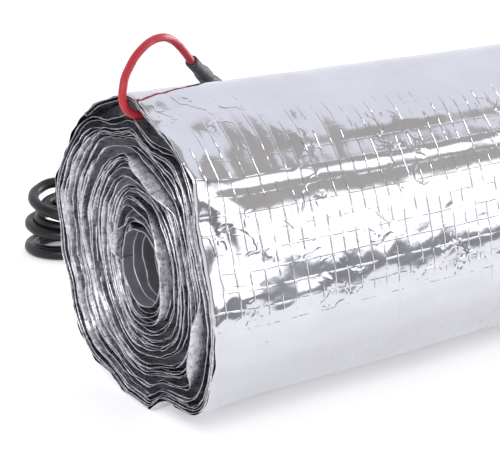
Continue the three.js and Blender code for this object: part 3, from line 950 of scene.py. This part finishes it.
near_foils = wound_end("foil_turns_near_end", -1, 100)
far_foils = wound_end("foil_turns_far_end", 1, 300)
for piece in (near_foils, far_foils):
    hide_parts("foil_mat_roll")
print("Wound foils:", len(near_foils.data.polygons), "faces on each end")

# %% [markdown]
# Cut foil is the same rolled aluminium, but crumpled by the knife, so it scatters more light
# and no longer mirrors the studio. The cut itself shows the laminate of foil, scrim and film,
# which is greyer, so the strips' rims have a second material.

# %% Cut foil edges
cut_foil, tree = new_material("rolled_aluminium_foil_cut_and_crumpled")
place = add(tree, "ShaderNodeTexCoord").outputs["Object"]
specks = add(tree, "ShaderNodeTexNoise", {
    "Vector": place, "Scale": 1 / (2.6 * MM), "Detail": 4, "Roughness": 0.65,
}).outputs["Fac"]
dents = add(tree, "ShaderNodeTexNoise", {
    "Vector": place, "Scale": 1 / (1.5 * MM), "Detail": 3, "Roughness": 0.6,
}).outputs["Fac"]
finish_material(tree, add(tree, "ShaderNodeBsdfPrincipled", {
    "Base Color": ramp(tree, specks, [(0.34, "#9A9AA0"), (0.62, "#DEDEE4")]),
    "Metallic": 1.0,
    "Roughness": add(tree, "ShaderNodeMapRange", {
        "Value": specks, "From Min": 0.3, "From Max": 0.7, "To Min": 0.22, "To Max": 0.42,
    }).outputs["Result"],
    "Normal": add(tree, "ShaderNodeBump", {
        "Height": dents, "Strength": 0.6, "Distance": 0.35 * MM,
    }).outputs["Normal"],
}))
cut_laminate, tree = new_material("laminated_foil_knife_cut")
fibres = add(tree, "ShaderNodeTexNoise", {
    "Vector": add(tree, "ShaderNodeTexCoord").outputs["Object"], "Scale": 1 / (4 * MM), "Detail": 3,
}).outputs["Fac"]
finish_material(tree, add(tree, "ShaderNodeBsdfPrincipled", {
    "Base Color": ramp(tree, fibres, [(0.35, "#7C7C81"), (0.65, "#C4C4C9")]),
    "Metallic": 1.0,
    "Roughness": 0.45,
}))
for piece in (near_foils, far_foils):
    piece.data.materials.append(cut_foil)
    piece.data.materials.append(cut_laminate)
print("Materials on the ends:", cut_foil.name, cut_laminate.name)

# %% [markdown]
# Behind the end's gaps the turns lie tight on each other. Nobody sees them one by one, so one
# ring-shaped body fills that room, and no light comes through the roll.

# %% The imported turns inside
CORE_HALF = 240
CORE_DEPTHS = (0.06, 0.95)
BORE_ROWS = 72


def ring_of(curve_share, depth):
    """One closed ring of points on the end, at a depth share between bore and outline."""
    outer = outline_at(body_curve, curve_share)
    direction = outer - BORE_CENTRE
    direction /= np.linalg.norm(direction, axis=-1, keepdims=True)
    inner = BORE_CENTRE + direction * BORE_RADIUS
    return inner + (outer - inner) * depth


def closed_sleeve(name, sections):
    """A ring-shaped body through sections of (x, depth share), closed on itself."""
    shares = np.linspace(0, 1, BORE_ROWS, endpoint=False)
    rows = []
    for along, depth in sections:
        ring = ring_of(shares, depth)
        rows.append(np.concatenate([np.full((BORE_ROWS, 1), along), ring], axis=-1))
    rows.append(rows[0])
    return grid_object(name, np.array(rows) * MM, wrap=True)


packed_turns = closed_sleeve("packed_turns", [
    (-CORE_HALF, CORE_DEPTHS[0]), (-CORE_HALF, CORE_DEPTHS[1]),
    (CORE_HALF, CORE_DEPTHS[1]), (CORE_HALF, CORE_DEPTHS[0]),
])
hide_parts("foil_mat_roll")
print("Packed turns:", len(packed_turns.data.polygons), "faces")

# %% [markdown]
# The bore's wall is the mat's first turn. More of its turns show inside it as curved strips,
# each a little further in, because the mat was started by hand. The wall goes all the way
# round, and each strip lies on part of it.

# %% The bore's wall and its strips
BORE_FOIL_THICKNESS = 0.3
BORE_DEPTHS = np.array([0, 0.8, 2.2, 5, 11, 30, 80])


def bore_strip(name, start, end, radius, first_angle, angle_span, seed):
    """A stretch of the mat's first turn: a curved strip inside the bore, its cut edge at start."""
    angles = np.radians(np.linspace(first_angle, first_angle + angle_span, BORE_ROWS))
    lengths = start + np.sign(end - start) * BORE_DEPTHS[BORE_DEPTHS < abs(end - start)]
    lengths = np.append(lengths, end)
    a, x = np.meshgrid(angles, lengths, indexing="ij")
    edge = np.exp(-np.abs(x - start) / 4)
    r = radius + 0.3 * noise(a * 4, x / 9, seed) + edge * 0.25 * noise(a * 11, x * 0, seed + 1)
    x = x + edge * np.sign(end - start) * 0.9 * noise(a * 2.2, x * 0, seed + 2)
    y, z = BORE_CENTRE[0] + r * np.cos(a), BORE_CENTRE[1] + r * np.sin(a)
    made = grid_object(name, np.stack([x, y, z], axis=-1) * MM)
    thick = made.modifiers.new("foil_thickness", "SOLIDIFY")
    thick.thickness = BORE_FOIL_THICKNESS * MM
    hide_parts("foil_mat_roll")
    return made


bore_pieces = [
    bore_strip("bore_wall", -249.3, 249.3, 19.7, 0, 360, 40),
    bore_strip("bore_turn_1", -243, 100, 19.1, -100, 230, 43),
    bore_strip("bore_turn_2", -237.5, 90, 18.5, -85, 190, 46),
    bore_strip("bore_turn_3", -231.5, 80, 17.9, -70, 150, 49),
]

print("Bore pieces:", [piece.name for piece in bore_pieces])

# %% [markdown]
# Two sheets of foil rolled together come out matt where they touched. That side faces the
# bore, so its wall has soft tones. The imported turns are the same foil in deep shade, where
# it reflects only more foil, so they are a plain dull grey.

# %% Matt side of the foil, and foil in shade
bore_foil, tree = new_material("rolled_aluminium_foil_matt_side")
place = add(tree, "ShaderNodeTexCoord").outputs["Object"]
shade = add(tree, "ShaderNodeTexNoise", {
    "Vector": place, "Scale": 1 / (14 * MM), "Detail": 3,
}).outputs["Fac"]
finish_material(tree, add(tree, "ShaderNodeBsdfPrincipled", {
    "Base Color": ramp(tree, shade, [(0.35, "#A2A1A8"), (0.65, "#B6B5BC")]),
    "Metallic": 0.85,
    "Roughness": 0.42,
    "Normal": add(tree, "ShaderNodeBump", {
        "Height": shade, "Strength": 0.4, "Distance": 0.5 * MM,
    }).outputs["Normal"],
}))
for piece in bore_pieces:
    piece.data.materials.append(bore_foil)
packed, tree = new_material("packed_foil_in_shade")
shade = add(tree, "ShaderNodeTexNoise", {
    "Vector": add(tree, "ShaderNodeTexCoord").outputs["Object"], "Scale": 1 / (5 * MM),
}).outputs["Fac"]
finish_material(tree, add(tree, "ShaderNodeBsdfPrincipled", {
    "Base Color": ramp(tree, shade, [(0.4, "#626166"), (0.6, "#78777C")]), "Roughness": 0.6,
}))
packed_turns.data.materials.append(packed)
print("Materials in the roll:", bore_foil.name, packed.name)

# %% [markdown]
# A flat nylon tie holds the hank. It is drawn tight round the bundle's rounded corners, with
# a small locking head on top and its free end cut off. A section swept round listed
# corners gives the strap, with small bevels on its edges, which catch a thin line of light.

# %% The tie round the hank
TIE_WIDTH = 4.8
TIE_THICKNESS = 1.1
TIE_CORNERS = [
    (-15.6, 1.7), (-12.2, 1.45), (0, 1.4), (12.2, 1.45), (15.6, 1.7), (16.1, 3.2), (16.2, 9),
    (16.2, 17.5), (16, 22), (14.6, 24.3), (12, 24.8), (4, 24.9), (-4, 24.9), (-12, 24.8),
    (-14.6, 24.3), (-16, 22), (-16.2, 17.5), (-16.2, 9), (-16.1, 3.2),
]
TIE_BEVEL = 0.2
TIE_BEVEL_HEIGHT = 0.15
tie_edge, tie_flat = TIE_WIDTH / 2, TIE_WIDTH / 2 - TIE_BEVEL
tie_low, tie_high = TIE_BEVEL_HEIGHT, TIE_THICKNESS - TIE_BEVEL_HEIGHT
TIE_SECTION = [
    (-tie_edge, tie_low), (-tie_flat, 0), (tie_flat, 0), (tie_edge, tie_low),
    (tie_edge, tie_high), (tie_flat, TIE_THICKNESS), (-tie_flat, TIE_THICKNESS), (-tie_edge, tie_high),
]


def band(name, corners, section, centre_y, centre_x):
    """A strap that follows the corners, its section given as (along X, outwards)."""
    points = np.array(corners, float)
    ahead, behind = np.roll(points, -1, axis=0), np.roll(points, 1, axis=0)
    tangent = ahead - behind
    tangent /= np.linalg.norm(tangent, axis=1, keepdims=True)
    outwards = np.stack([tangent[:, 1], -tangent[:, 0]], axis=1)
    rows = []
    for along, out in section:
        ring = points + outwards * out
        rows.append(np.stack([
            np.full(len(points), centre_x + along), centre_y + ring[:, 0], np.maximum(ring[:, 1], 0.1),
        ], axis=1))
    rows.append(rows[0])
    return grid_object(name, np.array(rows) * MM, wrap=True)


tie = band("hank_tie_strap", TIE_CORNERS, TIE_SECTION, HANK_CENTRE_Y, HANK_CENTRE_X)
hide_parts("hank_tie")
HEAD_PROFILE = [(0, 0), (0, 3.1), (0.5, 3.7), (4.2, 3.7), (4.8, 3.1), (4.8, 0)]
HEAD_BOTTOM = Vector((-100, 249, 25.7)) * MM
HEAD_TOP = Vector((-100, 249, 31)) * MM
HEAD_SIDES = 4
tie_head = turned_along("hank_tie_head", HEAD_BOTTOM, HEAD_TOP, HEAD_PROFILE, HEAD_SIDES)
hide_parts("hank_tie")
print("Tie strap:", len(tie.data.polygons), "faces")

# %% [markdown]
# Where the lead ends, its sheath is stripped and three cores come out, ready for the
# thermostat. Their insulation is extruded PVC, smooth and satin, in the standard colours:
# brown, blue, and a green that stands for green and yellow. Each is a cable like the others.

# %% The stripped cores
CORE_DIAMETER = 2.8 * MM
CORE_ROUTES_MM = {
    "core_brown_insulation": ("core_brown", "#6B3F24", [
        (27, 265.3, 2.5), (29.3, 265.3, 2.3), (39.5, 265.3, 2.1), (53.1, 261.8, 1.5), (63.3, 258.3, 1.5),
    ]),
    "core_blue_insulation": ("core_blue", "#2C63B0", [
        (27, 268.7, 2.5), (29.3, 268.7, 2.3), (39.5, 268.7, 2.1), (53.1, 272.2, 1.5), (63.3, 275.7, 1.5),
    ]),
    "core_earth_insulation": ("core_earth", "#7C9A2E", [
        (27, 267, 5.1), (29.3, 267, 5.1), (39.5, 267, 5), (53.1, 267, 3.4), (63.3, 267, 2.2),
    ]),
}
for name, (slot, colour, points) in CORE_ROUTES_MM.items():
    core = cable_along(name, [Vector(point) * MM for point in points], CORE_DIAMETER, 4)
    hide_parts(slot)
    core_pvc = extruded_sheath("extruded_pvc_" + slot, (colour, colour), 0.35, 1.53, 8, 0.8)
    core.data.materials.append(core_pvc)

# %% [markdown]
# The tie is moulded nylon. It comes out of a steel mould with a fine, even grain, which gives it
# a soft sheen. The grain is about 0.1 mm and is drawn coarser, to show at all.

# %% Moulded nylon
nylon, tree = new_material("moulded_nylon_black")
grain = add(tree, "ShaderNodeTexNoise", {
    "Vector": add(tree, "ShaderNodeTexCoord").outputs["Object"], "Scale": 1 / (0.8 * MM), "Detail": 2,
}).outputs["Fac"]
finish_material(tree, add(tree, "ShaderNodeBsdfPrincipled", {
    "Base Color": ramp(tree, grain, [(0.4, "#19191A"), (0.6, "#1F1F21")]),
    "Roughness": 0.45,
    "IOR": 1.53,
    "Normal": add(tree, "ShaderNodeBump", {
        "Height": grain, "Strength": 0.3, "Distance": 0.05 * MM,
    }).outputs["Normal"],
}))
tie.data.materials.append(nylon)
tie_head.data.materials.append(nylon)
print("Tie material:", nylon.name)

# %% [markdown]
# A cable can be laid out again when the part is used. This cell only prints which two pieces
# are cables.

# %% What the two cables are
print("Cables: the heating cable's loop and the cold lead")

# %% [markdown]
# The floor is a plain sheet of matt white paint, faintly mottled, with a little glow of its own
# so that it stays pale under the roll. It ends a short way in front of the roll, and the foil
# shows the dim room beyond that edge as a dark band.

# %% Floor
FLOOR_SIDE = 3.2
FLOOR_FRONT = -0.8
across, back = np.meshgrid([-FLOOR_SIDE, 0, FLOOR_SIDE], [FLOOR_FRONT, 0.5, FLOOR_SIDE])
floor = grid_object("studio_floor", np.stack([across, back, across * 0], axis=-1))
floor_paint, tree = new_material("matt_white_floor")
speckle = add(tree, "ShaderNodeTexNoise", {
    "Vector": add(tree, "ShaderNodeTexCoord").outputs["Object"], "Scale": 1 / (300 * MM),
}).outputs["Fac"]
finish_material(tree, add(tree, "ShaderNodeBsdfPrincipled", {
    "Base Color": ramp(tree, speckle, [(0.3, "#F6F6F7"), (0.7, "#F9F9FA")]),
    "Roughness": 0.9,
    "Specular IOR Level": 0.0,
    "Emission Color": (1, 1, 1, 1),
    "Emission Strength": 0.28,
}))
floor.data.materials.append(floor_paint)
print("Floor in m:", 2 * FLOOR_SIDE, "by", FLOOR_SIDE - FLOOR_FRONT)

# %% [markdown]
# The studio: a white sweep behind, a large soft light high in front, a grey ceiling between
# them and a dim room beyond the floor's front edge. Foil is lit by what it mirrors, so these
# are drawn as tones of the sky round the scene and not as lamps. A tone depends on the angle
# about the roll's axis, from the front horizon up over the top to the back.

# %% The ceiling and its far edge
# Angle about the roll's axis in degrees from the front horizon, and the tone seen there.
STUDIO_TONES = [
    (0.0, 0.36, 0.36, 0.38), (2.8, 0.36, 0.36, 0.38), (4.8, 2.1, 2.1, 2.15), (34, 2.1, 2.1, 2.15),
    (38.5, 0.6, 0.57, 0.55), (105, 0.6, 0.57, 0.55), (111, 1.1, 1.1, 1.19), (180, 1.1, 1.1, 1.19),
]
# The grey ceiling's far edge leans: it stands lower towards the roll's far end.
CEILING_LEAN = math.radians(52)
CEILING_LEAN_FROM = 0.505
CEILING_LEAN_TO = 0.6
CEILING_LEAN_ENDS = 0.74
world = bpy.data.worlds.new("studio")
world.use_nodes = True
bpy.context.scene.world = world
tree = world.node_tree
tree.nodes.clear()
split = add(tree, "ShaderNodeSeparateXYZ", {
    "Vector": add(tree, "ShaderNodeTexCoord").outputs["Generated"],
})
front = add(tree, "ShaderNodeMath", {
    0: split.outputs["Y"], 1: -1.0,
}, operation="MULTIPLY").outputs["Value"]
angle = add(tree, "ShaderNodeMath", {
    0: split.outputs["Z"], 1: front,
}, operation="ARCTAN2").outputs["Value"]
lean = add(tree, "ShaderNodeMapRange", {
    "Value": split.outputs["X"], "From Min": CEILING_LEAN_FROM, "From Max": CEILING_LEAN_TO,
    "To Max": CEILING_LEAN,
}).outputs["Result"]
lean_on = add(tree, "ShaderNodeMapRange", {
    "Value": angle, "From Min": math.radians(40), "From Max": math.radians(46),
}).outputs["Result"]
lean_off = add(tree, "ShaderNodeMapRange", {
    "Value": split.outputs["X"], "From Min": CEILING_LEAN_ENDS, "From Max": CEILING_LEAN_ENDS + 0.05,
    "To Min": 1.0, "To Max": 0.0,
}).outputs["Result"]
lean_where = add(tree, "ShaderNodeMath", {
    0: lean_on, 1: lean_off,
}, operation="MULTIPLY").outputs["Value"]
leaned = add(tree, "ShaderNodeMath", {
    0: lean, 1: lean_where,
}, operation="MULTIPLY").outputs["Value"]
shifted = add(tree, "ShaderNodeMath", {0: angle, 1: leaned}, operation="ADD").outputs["Value"]
share = add(tree, "ShaderNodeMath", {0: shifted, 1: math.pi}, operation="DIVIDE").outputs["Value"]
tones = add(tree, "ShaderNodeValToRGB", {"Fac": share})
elements = tones.color_ramp.elements
while len(elements) < len(STUDIO_TONES):
    elements.new(0.5)
for element, (degrees, *tone) in zip(elements, STUDIO_TONES):
    element.position = degrees / 180
    element.color = (*tone, 1)
print("Studio tones:", len(STUDIO_TONES))

# %% [markdown]
# The soft light in front ends to the left and right, and beside it the room is dim. Behind the
# photographer's left shoulder a white wall lights the near end. These differ along the roll,
# so they are mixed into the tones by the sky's X.

# %% The soft light's ends and the room
SOFTBOX_MIDDLE = 0.58
SOFTBOX_REACH = 0.2
DIM_ROOM = (0.34, 0.335, 0.33, 1)
WHITE_WALL = (1.1, 1.1, 1.12, 1)
WALL_FROM = -0.1
WALL_TO = -0.35
in_reach = add(tree, "ShaderNodeMapRange", {
    "Value": add(tree, "ShaderNodeMath", {
        0: add(tree, "ShaderNodeMath", {
            0: split.outputs["X"], 1: SOFTBOX_MIDDLE,
        }, operation="SUBTRACT").outputs["Value"],
    }, operation="ABSOLUTE").outputs["Value"],
    "From Min": SOFTBOX_REACH, "From Max": SOFTBOX_REACH + 0.1, "To Min": 1.0, "To Max": 0.0,
}).outputs["Result"]
in_front = add(tree, "ShaderNodeMapRange", {
    "Value": angle, "From Min": math.radians(44), "From Max": math.radians(60),
    "To Min": 1.0, "To Max": 0.0,
}).outputs["Result"]
out_of_reach = add(tree, "ShaderNodeMath", {
    0: 1.0, 1: in_reach,
}, operation="SUBTRACT").outputs["Value"]
beside = add(tree, "ShaderNodeMath", {
    0: in_front, 1: out_of_reach,
}, operation="MULTIPLY").outputs["Value"]
wall = add(tree, "ShaderNodeMapRange", {
    "Value": split.outputs["X"], "From Min": WALL_FROM, "From Max": WALL_TO,
}).outputs["Result"]
room = add(tree, "ShaderNodeMix", {"Factor": wall, 6: DIM_ROOM, 7: WHITE_WALL}, data_type="RGBA")
sky = add(tree, "ShaderNodeMix", {
    "Factor": beside, 6: tones.outputs["Color"], 7: room.outputs[2],
}, data_type="RGBA")
background = add(tree, "ShaderNodeBackground", {"Color": sky.outputs[2], "Strength": 1.0})
add(tree, "ShaderNodeOutputWorld", {"Surface": background.outputs["Background"]})
bpy.context.scene.view_settings.view_transform = "Standard"
print("World nodes:", len(tree.nodes))

# %% [markdown]
# Two soft lights give what the sky can't: a key light from the left for the shadow on the
# floor and the gloss on the cables, and a light for the far end, which the photograph
# doesn't show but a turned view does.

# %% Soft lights
def soft_light(name, place, aim, size, power):
    """A square area light that points at aim."""
    data = bpy.data.lights.new(name, "AREA")
    data.size = size
    data.energy = power
    made = bpy.data.objects.new(name, data)
    made.location = place
    made.rotation_euler = (Vector(aim) - Vector(place)).to_track_quat("-Z", "Y").to_euler()
    bpy.context.scene.collection.objects.link(made)
    return made


key_light = soft_light("key_softbox", (-1.2, -1.3, 1.5), (-0.2, 0, 0.1), 0.8, 14)
far_light = soft_light("far_end_softbox", (1.7, 0.25, 0.5), (0.2, 0, 0.08), 0.9, 16)
print("Lights in W:", key_light.data.energy, far_light.data.energy)
